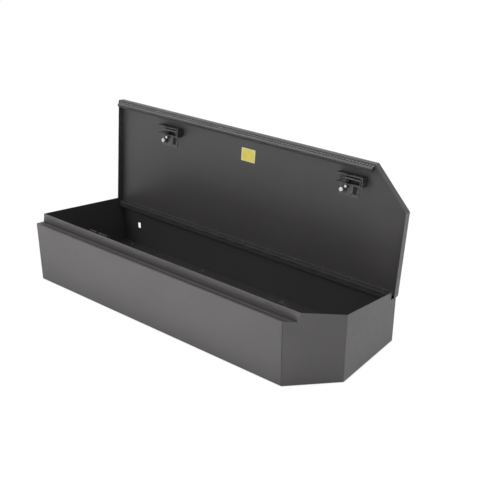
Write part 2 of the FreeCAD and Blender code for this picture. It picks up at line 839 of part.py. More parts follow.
def make_striker(x):
    path = [
        (riser_back_s, rim_t - striker_top_gap),
        (riser_back_s, striker_low_t),
        (lip_s + striker_plate / 2, striker_low_t),
        (lip_s + striker_plate / 2, lip_top_t),
    ]
    ends = (x - housing_left - striker_side, x + housing_right + striker_side)
    striker = folded_sheet(path, striker_plate, -1, bend_radius, ends[0], ends[1])
    reach = cross_pin_radius + striker_play
    lip_span = (lip_s - striker_plate, lip_s + striker_plate)
    for a in cross_pins:
        entry_low = V(x + a - reach, lip_span[0], pin_t - reach)
        entry = Part.makeBox(2 * reach, 2 * striker_plate, lip_top_t - pin_t + 2 * reach, entry_low)
        run_low = V(x + a - slide_travel - reach, lip_span[0], pin_t - reach)
        run_height = lip_top_t - striker_hook - pin_t + reach
        run = Part.makeBox(slide_travel + reach, 2 * striker_plate, run_height, run_low)
        striker = striker.cut(entry.fuse(run))
    lip_end = V(x + housing_right - housing_plate - striker_play, lip_span[0], striker_floor_t)
    beyond = Part.makeBox(ends[1] - lip_end.x, 2 * striker_plate, lip_top_t - striker_floor_t, lip_end)
    return ledge_place(striker.cut(beyond))


nodes = {
    "floor_panel": make_floor_panel(),
    "front_panel": make_front_panel(),
    "front_riser": make_front_riser(),
    "back_panel": make_back_panel(),
    "left_end_panel": make_left_end_panel(),
    "right_end_panel": make_right_end_panel(),
    "hinge_rail": make_hinge_rail(),
    "hinge_body_leaf": make_hinge_body_leaf(),
    "hinge_body_rivets": make_hinge_body_rivets(),
    "hinge_pin": make_hinge_pin(),
    "lid_panel": make_lid_panel(),
    "hinge_lid_leaf": make_hinge_lid_leaf(),
    "hinge_lid_rivets": make_hinge_lid_rivets(),
    "front_edge_seal": make_front_edge_seal(),
    "blank_label": make_label(),
}
latch_makers = {
    "striker": make_striker,
    "latch_housing": make_latch_housing,
    "lock_plate": make_lock_plate,
    "latch_rivets": make_latch_rivets,
    "lock_body": make_lock_body,
    "lock_nut": make_lock_nut,
    "key_plug": make_key_plug,
    "lock_crank": make_lock_crank,
    "crank_pin": make_crank_pin,
    "crank_screw": make_crank_screw,
    "latch_slide": make_latch_slide,
    "latch_pins": make_latch_pins,
    "pin_clips": make_pin_clips,
}
for side_name, place in zip(latch_names, lock_places):
    for piece, maker in latch_makers.items():
        nodes[side_name + "_" + piece] = maker(place)

os.makedirs("parts", exist_ok=True)
for name, shape in nodes.items():
    shape.exportStep("parts/" + name + ".step")

print("hinge axis", round(hinge.y, 3), round(hinge.z, 3), "opens by", round(open_angle, 3))
print("back wall height", round(back_height, 3), "lid length", round(lid_length, 3))
print("slide travel", round(slide_travel, 3), "for a key turn of", crank_turn)
for side_name, place in zip(latch_names, lock_places):
    lock_axis = lid_place(Part.Vertex(place, latch_q + lock_offset, 0)).Point
    print(side_name, "lock axis", [round(c, 3) for c in lock_axis])
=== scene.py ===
import json
import math

import bmesh
import bpy
from bpy.props import FloatProperty, FloatVectorProperty, IntProperty, PointerProperty
from mathutils import Matrix, Vector


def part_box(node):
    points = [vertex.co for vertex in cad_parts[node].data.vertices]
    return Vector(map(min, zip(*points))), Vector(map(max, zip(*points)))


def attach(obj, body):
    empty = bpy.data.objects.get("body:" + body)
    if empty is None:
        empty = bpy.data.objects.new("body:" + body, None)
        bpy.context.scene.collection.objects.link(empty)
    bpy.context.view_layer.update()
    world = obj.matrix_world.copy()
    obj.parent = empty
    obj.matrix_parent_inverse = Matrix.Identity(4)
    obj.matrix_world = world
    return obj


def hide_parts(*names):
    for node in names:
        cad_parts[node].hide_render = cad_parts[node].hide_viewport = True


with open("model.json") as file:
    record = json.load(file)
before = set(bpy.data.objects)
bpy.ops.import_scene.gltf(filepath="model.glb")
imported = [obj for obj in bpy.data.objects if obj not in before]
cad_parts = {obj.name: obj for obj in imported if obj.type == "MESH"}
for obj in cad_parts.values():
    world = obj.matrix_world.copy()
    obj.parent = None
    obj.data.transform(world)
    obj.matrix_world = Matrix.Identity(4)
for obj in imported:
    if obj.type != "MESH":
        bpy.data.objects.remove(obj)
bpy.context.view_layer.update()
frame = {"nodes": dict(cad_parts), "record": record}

bl_info = {
    "name": "Underseat Lockbox",
    "version": (1, 0, 0),
    "blender": (4, 5, 0),
    "location": "View3D > Sidebar > Lockbox",
    "description": "Dresses the packed lockbox with coats, seal, sticker and weld beads, and sets its stage",
    "category": "Object",
}

JOINTS = {joint["name"]: joint for joint in frame["record"]["behaviour"]["joints"]}
HINGE = Vector(JOINTS["lid_hinge"]["pos_m"])
SIDES = ("left", "right")

# Nodes by the finish they take
SHELL_NODES = (
    "floor_panel", "front_panel", "back_panel", "left_end_panel", "right_end_panel", "lid_panel",
)
HINGE_NODES = ("hinge_body_leaf", "hinge_lid_leaf", "hinge_body_rivets")
LATCH_NODES = ("latch_rivets", "lock_crank", "latch_pins", "pin_clips")
PLATE_NODES = ("latch_housing", "latch_slide")
DULL_NODES = ("lock_body", "lock_nut", "key_plug")

# Shade of the charcoal coat on each group of pieces, and how much duller it is there
COATS = {
    "charcoal_powder_coat": (1.0, 0.0),
    # Lighter riser: a painted highlight for light falling more evenly on it
    "riser_painted_light_coat": (1.3, 0.0),
    "hinge_coat": (0.62, 0.3),
    # Near-black rail: a painted shadow under the hinge
    "hinge_rail_shadow_coat": (0.25, 0.3),
    # Lighter rivet heads: a painted highlight that shows them as bright dots
    "rivet_highlight_coat": (1.6, 0.0),
    "lock_plate_coat": (1.5, 0.0),
    "striker_coat": (1.0, 0.0),
    # Near-black coat that paints the shade inside the lock plates' notches
    "notch_shadow_coat": (0.2, 0.3),
    # Darker weld beads: a painted shade of the seams at the corners
    "weld_and_seam_shade_coat": (0.4, 0.0),
    # Much lighter bead along the ledge: a painted highlight line
    "highlight_line_coat": (1.9, 0.0),
    # Near-black bead at the riser's root: a painted shade line in the crease
    "root_shade_coat": (0.15, 0.4),
    # Near-black bead: painted shade of the seam at the cut-off corner
    "seam_shade_coat": (0.15, 0.0),
}

# Edges in the materials: rays per edge, cosines of flat and of rounded surface, fade at a cut face
BEVEL_SAMPLES = 4
FLAT_COSINE = 0.995
ROUND_COSINE = 0.86
CUT_FADE = 0.0006

# Surfaces of added pieces are smooth up to this angle, in degrees
SMOOTH_UP_TO = 35.0

# Crank screws: radius and depth of the shank's rings, then shares of the head and of its six-sided socket
SHANK_RINGS = ((0.0019, -0.0100), (0.0019, -0.0040))
HEAD_RINGS = (
    (0.99, -0.0040), (1.0, -0.0036), (1.0, -0.0026), (0.86, -0.0021), (0.80, -0.0004), (0.70, 0.0),
)
SOCKET_RINGS = ((1.0, 0.0), (0.96, -0.0018))
SOCKET_SHARE = 0.50

# The corners of a tilted head's box lie this far beyond the head
HEAD_SINK = 0.0008

# Bulb of the seal: steps along it, sides round it, and its sway as reach, pace and start
BULB_STEPS = 80
BULB_SIDES = 28
BULB_SWAYS = ((0.00012, 1.7, 0.0), (0.00008, 0.61, 1.0))
SWAY_ROOM = 0.0002

# Channel of the seal: fit on the lip, wall, and reach of its legs
SEAL_FIT = 0.0001
CHANNEL_WALL = 0.0016
CHANNEL_LEG = 0.0055

# Gripping pads: both ends from the lip's edge, slant, height, root in the channel and bevel
PAD_NEAR = 0.0006
PAD_FAR = 0.0054
PAD_SLANT = 0.0080
PAD_RISE = 0.0007
PAD_ROOT = 0.0002
PAD_BEVEL = 0.0006

# Where the first pad starts, in pitches from the seal's left end
PAD_START = 0.25

# Sticker: thickness and bevel of the film, step from the border to the field and height of the field
FILM_THICKNESS = 0.0002
FILM_BEVEL = 0.0001
FIELD_STEP = 0.0003
FIELD_HEIGHT = 0.00014

# Corner radius of the sticker, which shrinks with the inset by no more than the loss
STICKER_CORNER = 0.003
CORNER_LOSS = 0.002

# How much shorter the dressed sticker is than its solid
STICKER_TRIM = 0.0004

# Notch shadows, dark sheets that paint the shade inside the lock plates' notches: inset and height of each
# outline, and corner radius
NOTCH_RINGS = ((0.0, 0.0), (0.0, 0.0004), (0.0004, 0.0007))
NOTCH_CORNER = 0.0015

# Points round each corner of an outline
CORNER_POINTS = 6

# Weld beads: steps to a ripple, sides, trough and swell as shares of the radius, and taper at the ends
RIPPLE_STEPS = 4
BEAD_SIDES = 8
RIPPLE_TROUGH = 0.80
RIPPLE_SWELL = 0.28
BEAD_TAPER = 0.35

# Welds on the box: height of their feet, how far they end below the top, and shares of the radius sunk in
WELD_FOOT = 0.002
FRONT_CLEAR = 0.004
BACK_CLEAR = 0.002
BEAD_SINK = 0.5
SEAM_SINK = 0.6

# Stage: half the floor's side, levels of floor and shade, the shade's inset and cut-off corner
FLOOR_HALF = 12
FLOOR_LEVEL = -0.0004
SHADE_LEVEL = -0.0002
SHADE_INSET = 0.004
SHADE_CORNER = 0.15
SENSOR_WIDTH = 36

# Place and size of each lamp, and the point that the key lamp faces
LAMPS = {
    "key_lamp": ((-1.3, -3.2, 2.7), (1.1, 1.1)),
    "front_wash": ((-0.15, -1.25, 0.9), (2.1, 1.2)),
    "near_wash": ((-0.40, -0.56, 0.3), (2.1, 0.35)),
    "side_wash": ((1.55, 0.35, 0.9), (1.0, 1.2)),
}
KEY_TARGET = (0, 0, 0.2)


def colour(label, about, default):
    """Colour that a user can change."""
    return FloatVectorProperty(
        name=label, description=about, default=default, subtype="COLOR", size=3, min=0, max=1,
    )


def length(label, about, default):
    """Length in metres."""
    return FloatProperty(
        name=label, description=about, default=default, subtype="DISTANCE", unit="LENGTH", min=0,
    )


def share(label, about, default):
    """Share between nought and one."""
    return FloatProperty(name=label, description=about, default=default, subtype="FACTOR", min=0, max=1)


def angle(label, about, degrees):
    """Angle that is given in degrees."""
    return FloatProperty(
        name=label, description=about, default=math.radians(degrees), subtype="ANGLE", unit="ROTATION",
    )


def lamp_power(label, about, default):
    """Power of a lamp."""
    return FloatProperty(name=label, description=about, default=default, min=0, unit="POWER")


class LockboxFinish(bpy.types.PropertyGroup):
    """Colours and gloss of the lockbox's finishes."""

    coat: colour("Powder coat", "Charcoal coat of box and lid", (0.078, 0.0735, 0.076))
    coat_roughness: share("Coat roughness", "Gloss of the coat, higher is duller", 0.45)
    coat_grain: length("Coat grain", "Depth of the coat's orange peel", 0.00012)
    black: colour("Black steel", "Latch plates, bars and pins", (0.042, 0.042, 0.043))
    # Paler edges of the black plates: partly bare metal, partly a painted highlight
    bare_and_lit_edge: colour("Bare edges", "Cut edges of the black plates", (0.14, 0.14, 0.14))
    zinc: colour("Bright zinc", "Crank screws and pins", (0.87, 0.87, 0.88))
    dull_zinc: colour("Dull zinc", "Lock barrels, nuts and the hinge pin", (0.16, 0.16, 0.165))
    rubber: colour("Seal rubber", "Bulb of the seal on the lid's front edge", (0.055, 0.054, 0.055))
    # Pale rubber of the pads, also painted on the bulb's upper side as a highlight for light from above
    pale_rubber_and_top_light: colour("Seal bloom", "Bloom on the seal's upper side and pads", (0.300, 0.292, 0.296))
    # The carrier is dark rubber, painted near black so that the slots between the pads read as shade
    dark_carrier_and_slot_shade: colour("Seal carrier", "Dark carrier under the gripping pads", (0.012, 0.012, 0.012))
    sticker: colour("Sticker", "Field of the blank sticker", (1.0, 0.80, 0.15))
    sticker_border: colour("Sticker border", "Paler border of the sticker", (1.0, 0.91, 0.48))


class LockboxTrim(bpy.types.PropertyGroup):
    """Sizes of the pieces that are added to the solids."""

    lid_tilt: angle("Lid tilt", "Turn of the open lid about the box's length", -95.7)
    hinge_back: length("Hinge from front", "Front flange's face to the hinge axis, along the lid", 0.430824)
    hinge_drop: length("Hinge drop", "Lid's top face to the hinge axis", 0.0253)
    flange: length("Flange", "Height of the lid's flanges", 0.029)
    sheet: length("Sheet", "Thickness of the steel sheet", 0.0015)
    lip: length("Front lip", "Reach of the lip that carries the seal", 0.0095)
    bulb_radius: length("Bulb radius", "Outer radius of the seal's bulb", 0.0086)
    bulb_wall: length("Bulb wall", "Wall of the seal's bulb", 0.0016)
    bulb_back: length("Bulb place", "Front flange's face to the bulb's axis", 0.01905)
    pad_pitch: length("Grip pitch", "Spacing of the seal's gripping pads", 0.0125)
    pad_width: length("Grip width", "Width of a gripping pad", 0.0085)
    bead_radius: length("Weld bead", "Radius of the weld beads", 0.0014)
    bead_pitch: length("Weld ripple", "Spacing of the weld's ripples", 0.0032)
    # The seam at the cut-off corner is a bead painted near black, a painted shade
    seam_radius: length("Seam", "Radius of the dark seam at the cut-off corner", 0.0019)
    # Both ledge lines are beads: the one at the riser's foot is painted lighter, a painted highlight line,
    # and the one at the riser's root is painted near black, a painted shade line
    highlight_line_back: length("Riser foot", "Ledge's front edge to the foot of the riser", 0.0185)
    ledge_line_radius: length("Ledge lines", "Radius of the coat built up along the ledge", 0.0016)
    ledge_depth: length("Ledge depth", "Ledge's front edge to the face of the riser", 0.0338)
    ledge_height: length("Ledge height", "Ledge's front edge above the floor", 0.238)
    ledge_slope: angle("Ledge slope", "Fall of the ledge and the rim towards the back", 9.1)
    border: length("Sticker border", "Width of the sticker's border", 0.0034)
    # The notch's back is a dark sheet that paints the shade inside the notch
    notch_offset: length("Notch place", "Lock's axis to the near edge of the notch's back", 0.0384)
    notch_below: length("Notch foot", "Lock's axis to the lower edge of the notch's back", 0.0106)
    notch_width: length("Notch width", "Width of the notch's back", 0.0152)
    notch_length: length("Notch length", "Height of the notch's back", 0.0395)
    latch_edge: length("Latch edge", "Lid's top face to the cut edges of the latches", 0.0353)
    head_segments: IntProperty(name="Head sides", description="Facets round a screw head", default=36, min=12)


class LockboxStage(bpy.types.PropertyGroup):
    """Floor, light and camera."""

    floor: colour("Floor", "Pale floor", (0.82, 0.82, 0.82))
    floor_white: share("Floor whiteness", "How far the floor shows as plain white", 0.96)
    contact: length("Contact shadow", "Reach of the dark line where the box meets the floor", 0.006)
    under_box: share("Light under the box", "How bright the floor shows through the bolt holes", 0.10)
    ambient: FloatProperty(name="Ambient", description="Light from all round", default=0.362, min=0)
    key: lamp_power("Key lamp", "Soft lamp high at the left front", 31.0)
    front_wash: lamp_power("Front wash", "Lamp over the floor at the left front", 26.5)
    near_wash: lamp_power("Near wash", "Lamp over the floor right in front of the box", 8.0)
    side_wash: lamp_power("Side wash", "Lamp over the floor at the right", 19.5)
    wash_spread: angle("Wash spread", "Beam angle of the lamps over the floor", 70)
    eye: FloatVectorProperty(
        name="Camera", description="Camera's place", default=(1.7604, -2.0166, 1.5663),
        subtype="XYZ", unit="LENGTH",
    )
    aim: FloatVectorProperty(
        name="Camera turn", description="Camera's rotation",
        default=(math.radians(64.233), 0, math.radians(38.43)), subtype="EULER", unit="ROTATION",
    )
    lens: FloatProperty(
        name="Lens", description="Focal length on a 36 mm sensor, in millimetres", default=62.62,
    )


# Materials

def new_material(name):
    """Fresh node material, with its tree and its shader."""
    material = bpy.data.materials.new(name)
    material.use_nodes = True
    tree = material.node_tree
    return material, tree, tree.nodes["Principled BSDF"]


def add(tree, kind, **values):
    """Node of a kind, with attributes and input values set by name."""
    made = tree.nodes.new(kind)
    for key, value in values.items():
        if hasattr(made, key):
            setattr(made, key, value)
        else:
            made.inputs[key.replace("_", " ").title()].default_value = value
    return made


def feed(tree, value, entry):
    """Give an input a socket to follow, or a plain value."""
    if isinstance(value, bpy.types.NodeSocket):
        tree.links.new(value, entry)
    else:
        entry.default_value = value


def scaled(base, factor):
    """Colour made darker or lighter."""
    return tuple(min(1.0, channel * factor) for channel in base)


def opaque(base):
    """Colour with its alpha."""
    return (*base, 1)


def own(tree, output):
    """One of the piece's own coordinates."""
    return add(tree, "ShaderNodeTexCoord").outputs[output]


def noise(tree, scale, detail=2.0):
    """Noise that is fixed to the piece."""
    made = add(tree, "ShaderNodeTexNoise", scale=scale, detail=detail)
    feed(tree, own(tree, "Object"), made.inputs["Vector"])
    return made.outputs["Fac"]


def ramp(tree, source, low, high, start=0.3, end=0.7):
    """Colours from low to high over part of a source's range."""
    made = add(tree, "ShaderNodeValToRGB")
    first, last = made.color_ramp.elements
    first.position = start
    first.color = opaque(low)
    last.position = end
    last.color = opaque(high)
    feed(tree, source, made.inputs["Fac"])
    return made.outputs["Color"]


def span(tree, source, low, high, start=0.3, end=0.7, easing="LINEAR"):
    """Value from low to high over part of a source's range."""
    made = add(
        tree, "ShaderNodeMapRange", interpolation_type=easing,
        from_min=start, from_max=end, to_min=low, to_max=high,
    )
    feed(tree, source, made.inputs["Value"])
    return made.outputs["Result"]


def combine(tree, operation, first, second):
    """Two values put together by an operation."""
    made = add(tree, "ShaderNodeMath", operation=operation)
    feed(tree, first, made.inputs[0])
    feed(tree, second, made.inputs[1])
    return made.outputs["Value"]


def along(tree, vector, axis):
    """How far a vector reaches along an axis, which is a socket or fixed."""
    made = add(tree, "ShaderNodeVectorMath", operation="DOT_PRODUCT")
    feed(tree, vector, made.inputs[0])
    feed(tree, axis, made.inputs[1])
    return made.outputs["Value"]


def blend_colours(tree, factor, first, second):
    """Second colour over the first, as far as the factor says."""
    made = add(tree, "ShaderNodeMix", data_type="RGBA")
    feed(tree, factor, made.inputs["Factor"])
    feed(tree, first, made.inputs["A"])
    feed(tree, second, made.inputs["B"])
    return made.outputs["Result"]


def rounded_normal(tree, radius):
    """Normals that take edges as rounded."""
    return add(tree, "ShaderNodeBevel", samples=BEVEL_SAMPLES, radius=radius).outputs["Normal"]


def edge_mask(tree, radius):
    """One along rounded edges, nought on flat faces."""
    flat = add(tree, "ShaderNodeNewGeometry").outputs["Normal"]
    cosine = along(tree, rounded_normal(tree, radius), flat)
    return span(tree, cosine, 0.0, 1.0, FLAT_COSINE, ROUND_COSINE)


def cut_face(tree, axis, depth):
    """One beyond a depth along an axis, where a plate's cut edges lie."""
    return span(tree, along(tree, own(tree, "Object"), axis), 0.0, 1.0, depth - CUT_FADE, depth)


def upper_side(tree, up):
    """One where a piece's surface faces a direction, fading to nought where it faces away."""
    facing = along(tree, own(tree, "Normal"), up)
    return span(tree, facing, 0.0, 1.0, start=0.05, end=0.95, easing="SMOOTHSTEP")


def mottle(tree, base, scale, detail, low, high, start=0.3, end=0.7):
    """Colour that noise takes from a low share of itself to a high one."""
    return ramp(tree, noise(tree, scale, detail), scaled(base, low), scaled(base, high), start, end)


def set_gloss(tree, shader, scale, detail, low, high):
    """Roughness that wanders between two values."""
    feed(tree, span(tree, noise(tree, scale, detail), low, high), shader.inputs["Roughness"])


def set_grain(tree, shader, scale, detail, depth, edge_radius, strength=1.0):
    """Surface grain over edges that are slightly rounded."""
    made = add(tree, "ShaderNodeBump", strength=strength, distance=depth)
    feed(tree, noise(tree, scale, detail), made.inputs["Height"])
    feed(tree, rounded_normal(tree, edge_radius), made.inputs["Normal"])
    feed(tree, made.outputs["Normal"], shader.inputs["Normal"])


def powder_coat(name, base, roughness, grain):
    """Satin powder coat: fine orange peel, faint clouding and edges painted lighter, partly wear and partly a
    painted highlight.
    """
    material, tree, shader = new_material(name)
    fleck_share = 0.35
    wander = 0.04
    cloud = mottle(tree, base, scale=5, detail=4, low=0.93, high=1.07)
    fleck = mottle(tree, base, scale=1400, detail=1, low=0.80, high=1.20, start=0.35, end=0.65)
    coat = blend_colours(tree, fleck_share, cloud, fleck)
    # Rounded edges are painted lighter: partly worn coat, partly a painted highlight
    wear_and_highlight = blend_colours(tree, edge_mask(tree, radius=0.0012), coat, opaque(scaled(base, 1.35)))
    feed(tree, wear_and_highlight, shader.inputs["Base Color"])
    set_gloss(tree, shader, scale=40, detail=3, low=roughness - wander, high=roughness + wander)
    set_grain(tree, shader, scale=650, detail=2, depth=grain, edge_radius=0.0010, strength=0.5)
    return material


def charcoal(name, finish):
    """The coat of box and lid, in the shade that the named coat has."""
    shade, dullness = COATS[name]
    return powder_coat(name, scaled(finish.coat, shade), finish.coat_roughness + dullness, finish.coat_grain)


def black_steel(name, base, bare_and_lit, axis=None, depth=0.0):
    """Blackened steel plate whose edges, and cut faces beyond a depth along an axis, are painted paler:
    partly bare metal, partly a painted highlight.
    """
    material, tree, shader = new_material(name)
    smoky = mottle(tree, base, scale=60, detail=4, low=0.7, high=1.4)
    # Edges, and faces beyond the depth along the axis, are painted paler: partly bare metal, partly a painted
    # highlight
    edges = edge_mask(tree, radius=0.0016)
    if axis is not None:
        edges = combine(tree, "MAXIMUM", edges, cut_face(tree, axis, depth))
    patches = span(tree, noise(tree, scale=180, detail=3), low=0.55, high=1.0)
    rubbed_and_lit = combine(tree, "MULTIPLY", edges, patches)
    feed(tree, blend_colours(tree, rubbed_and_lit, smoky, opaque(bare_and_lit)), shader.inputs["Base Color"])
    set_gloss(tree, shader, scale=300, detail=3, low=0.42, high=0.56)
    set_grain(tree, shader, scale=900, detail=2, depth=0.00004, edge_radius=0.0007)
    return material


def zinc_plate(name, base):
    """Zinc on turned steel: fine streaks and dull patches."""
    material, tree, shader = new_material(name)
    feed(tree, mottle(tree, base, scale=260, detail=4, low=0.78, high=1.0), shader.inputs["Base Color"])
    set_gloss(tree, shader, scale=900, detail=3, low=0.24, high=0.40)
    set_grain(tree, shader, scale=1200, detail=2, depth=0.00004, edge_radius=0.0005)
    shader.inputs["Metallic"].default_value = 1.0
    return material


def rubber(name, base, top_light=None, up=None):
    """Dusty extruded rubber, whose side that lies up can be painted paler, a painted highlight for light from
    above.
    """
    material, tree, shader = new_material(name)
    shade = mottle(tree, base, scale=90, detail=5, low=0.8, high=1.25)
    # The side facing up is painted paler, a painted highlight for light from above
    if top_light is not None:
        shade = blend_colours(tree, upper_side(tree, up), shade, opaque(top_light))
    feed(tree, shade, shader.inputs["Base Color"])
    set_gloss(tree, shader, scale=300, detail=2, low=0.50, high=0.62)
    set_grain(tree, shader, scale=700, detail=3, depth=0.00006, edge_radius=0.0004)
    shader.inputs["Specular IOR Level"].default_value = 0.3
    return material


def film(name, base):
    """Printed film: matt, with a faint mottle."""
    material, tree, shader = new_material(name)
    feed(tree, mottle(tree, base, scale=70, detail=5, low=0.9, high=1.06), shader.inputs["Base Color"])
    set_gloss(tree, shader, scale=200, detail=2, low=0.42, high=0.55)
    set_grain(tree, shader, scale=500, detail=2, depth=0.00003, edge_radius=0.0003)
    return material


def coat_nodes(names, material):
    """Give CAD nodes a material."""
    for name in names:
        piece = frame["nodes"][name]
        if not piece.material_slots:
            piece.data.materials.append(material)
        for slot in piece.material_slots:
            slot.material = material


# Mesh helpers

def lid_matrix(trim):
    """From the lid's own frame (x, back from the front face, out from the top face) to the open lid."""
    turn = Matrix.Rotation(trim.lid_tilt, 4, "X")
    return Matrix.Translation(HINGE) @ turn @ Matrix.Translation((0, -trim.hinge_back, trim.hinge_drop))


def node_corners(node):
    """Lowest and highest corner of a CAD node at rest."""
    return [Vector(corner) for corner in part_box(node)]


def mesh_data(name, mesh, materials):
    """Mesh data from a bmesh, which it frees."""
    data = bpy.data.meshes.new(name)
    mesh.to_mesh(data)
    mesh.free()
    for material in materials:
        data.materials.append(material)
    return data


def place_object(name, data):
    """Object in the scene's own collection."""
    made = bpy.data.objects.new(name, data)
    bpy.context.scene.collection.objects.link(made)
    return made


def finish_piece(name, mesh, body, materials):
    """Object from a bmesh, smoothed up to an angle, riding on a body."""
    bmesh.ops.recalc_face_normals(mesh, faces=mesh.faces)
    data = mesh_data(name, mesh, materials)
    for face in data.polygons:
        face.use_smooth = True
    data.set_sharp_from_angle(angle=math.radians(SMOOTH_UP_TO))
    piece = place_object(name, data)
    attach(piece, body)
    return piece


def bridge(mesh, first, second):
    """Faces between two rings of the same count."""
    count = len(first)
    for i in range(count):
        j = (i + 1) % count
        mesh.faces.new((first[i], first[j], second[j], second[i]))


def skin(mesh, rings):
    """Faces from each ring to the next."""
    for first, second in zip(rings, rings[1:]):
        bridge(mesh, first, second)


def closed_skin(mesh, rings):
    """Faces from ring to ring and over both ends, of which the last is given back."""
    skin(mesh, rings)
    mesh.faces.new(rings[0])
    return mesh.faces.new(rings[-1])


def swept_ring(mesh, matrix, section, x):
    """Ring of a section (q, w) at a place along the lid."""
    return [mesh.verts.new(matrix @ Vector((x, q, w))) for q, w in section]


def flat_ring(mesh, matrix, outline, w):
    """Ring of an outline (x, q) at a level of the lid."""
    return [mesh.verts.new(matrix @ Vector((x, q, w))) for x, q in outline]


def circle(centre, radius, count):
    """Points evenly round a centre."""
    turns = [2 * math.pi * i / count for i in range(count)]
    return [(centre[0] + radius * math.cos(t), centre[1] + radius * math.sin(t)) for t in turns]


def rounded(x_low, x_high, q_low, q_high, radius):
    """Outline with rounded corners, counted round from one corner."""
    outline = []
    centres = [
        (x_high - radius, q_high - radius, 0.0), (x_low + radius, q_high - radius, 0.5),
        (x_low + radius, q_low + radius, 1.0), (x_high - radius, q_low + radius, 1.5),
    ]
    half_turn = 2 * (CORNER_POINTS - 1)
    for x, q, start in centres:
        for k in range(CORNER_POINTS):
            turn = math.pi * (start + k / half_turn)
            outline.append((x + radius * math.cos(turn), q + radius * math.sin(turn)))
    return outline


def bead(mesh, start, end, radius, pitch):
    """Rippled weld bead from start to end."""
    way = end - start
    steps = max(RIPPLE_STEPS, round(way.length / pitch) * RIPPLE_STEPS)
    forward = way.normalized()
    side = forward.orthogonal().normalized()
    lift = forward.cross(side)
    rings = []
    for i in range(steps + 1):
        phase = (i % RIPPLE_STEPS) / RIPPLE_STEPS
        reach = radius * (RIPPLE_TROUGH + RIPPLE_SWELL * math.sin(math.pi * phase))
        if i in (0, steps):
            reach *= BEAD_TAPER
        centre = start + way * (i / steps)
        section = circle((0, 0), reach, BEAD_SIDES)
        rings.append([mesh.verts.new(centre + side * a + lift * b) for a, b in section])
    closed_skin(mesh, rings)


# Pieces

class LOCKBOX_OT_coat_shell(bpy.types.Operator):
    """Coat the box's sheets and the lid"""

    bl_idname = "lockbox.coat_shell"
    bl_label = "Coat Box and Lid"

    def execute(self, context):
        finish = context.scene.lockbox_finish
        coat_nodes(SHELL_NODES, charcoal("charcoal_powder_coat", finish))
        # The riser is painted lighter than the rest of the coat, a painted highlight for light falling more
        # evenly on it
        coat_nodes(("front_riser",), charcoal("riser_painted_light_coat", finish))
        return {"FINISHED"}


class LOCKBOX_OT_dress_hinge(bpy.types.Operator):
    """Finish the long hinge, its rivets and its rail"""

    bl_idname = "lockbox.dress_hinge"
    bl_label = "Finish Hinge"

    def execute(self, context):
        finish = context.scene.lockbox_finish
        coat_nodes(HINGE_NODES, charcoal("hinge_coat", finish))
        # The rail is painted near black, a painted shadow under the hinge
        coat_nodes(("hinge_rail",), charcoal("hinge_rail_shadow_coat", finish))
        # The lid's rivets are painted lighter than the coat, a painted highlight that shows them as bright
        # dots
        coat_nodes(("hinge_lid_rivets",), charcoal("rivet_highlight_coat", finish))
        coat_nodes(("hinge_pin",), zinc_plate("hinge_pin_steel", finish.dull_zinc))
        return {"FINISHED"}


class LOCKBOX_OT_dress_latches(bpy.types.Operator):
    """Finish both latches, their locks and the strikers"""

    bl_idname = "lockbox.dress_latches"
    bl_label = "Finish Latches"

    def execute(self, context):
        finish = context.scene.lockbox_finish
        trim = context.scene.lockbox_trim
        matrix = lid_matrix(trim)
        inward = -matrix.to_3x3().col[2]
        # Faces beyond this depth are the latch plates' outer cut faces, painted paler: partly bare metal,
        # partly a painted highlight
        depth = matrix.translation.dot(inward) + trim.latch_edge
        groups = (
            (LATCH_NODES, black_steel("black_latch_steel", finish.black, finish.bare_and_lit_edge)),
            (PLATE_NODES, black_steel("black_plate_steel", finish.black, finish.bare_and_lit_edge, inward, depth)),
            (("lock_plate",), charcoal("lock_plate_coat", finish)),
            (("striker",), charcoal("striker_coat", finish)),
            (DULL_NODES, zinc_plate("dull_zinc_plate", finish.dull_zinc)),
            (("crank_pin",), zinc_plate("bright_zinc_plate", finish.zinc)),
        )
        for names, material in groups:
            coat_nodes([side + "_" + name for side in SIDES for name in names], material)
        return {"FINISHED"}


class LOCKBOX_OT_make_screw_heads(bpy.types.Operator):
    """Make the domed socket screws that hold the cranks"""

    bl_idname = "lockbox.make_screw_heads"
    bl_label = "Make Crank Screws"

    def execute(self, context):
        finish = context.scene.lockbox_finish
        trim = context.scene.lockbox_trim
        zinc = zinc_plate("zinc_screw_heads", finish.zinc)
        inward = Vector(JOINTS["left_key_turn"]["axis"]).normalized()
        for side in SIDES:
            node = side + "_crank_screw"
            low, high = node_corners(node)
            lock = Vector(JOINTS[side + "_key_turn"]["pos_m"])
            lock.x = (low.x + high.x) / 2
            corners = [Vector((lock.x, y, z)) for y in (low.y, high.y) for z in (low.z, high.z)]
            reach = max((corner - lock).dot(inward) for corner in corners)
            top = lock + inward * (reach - HEAD_SINK)
            mesh = self.turn_head(top, inward, (high.x - low.x) / 2, trim.head_segments)
            piece = finish_piece(side + "_crank_screw_dressed", mesh, side + "_key", [zinc])
            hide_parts(node)
        return {"FINISHED"}

    def turn_head(self, top, inward, radius, sides):
        """Screw from the shank's end over its rim to the floor of its socket."""
        across = Vector((1, 0, 0))
        up = inward.cross(across)
        socket = radius * SOCKET_SHARE

        def hexed(turn):
            """Reach of the six-sided socket at a turn."""
            return socket / math.cos((turn + math.pi / 6) % (math.pi / 3) - math.pi / 6)

        profile = [(size, depth, False) for size, depth in SHANK_RINGS]
        profile += [(radius * part, depth, False) for part, depth in HEAD_RINGS]
        profile += [(part, depth, True) for part, depth in SOCKET_RINGS]
        mesh = bmesh.new()
        rings = []
        for size, depth, six_sided in profile:
            ring = []
            for i in range(sides):
                turn = 2 * math.pi * i / sides
                reach = size * hexed(turn) if six_sided else size
                spoke = across * math.cos(turn) + up * math.sin(turn)
                ring.append(mesh.verts.new(top + inward * depth + spoke * reach))
            rings.append(ring)
        closed_skin(mesh, rings)
        return mesh


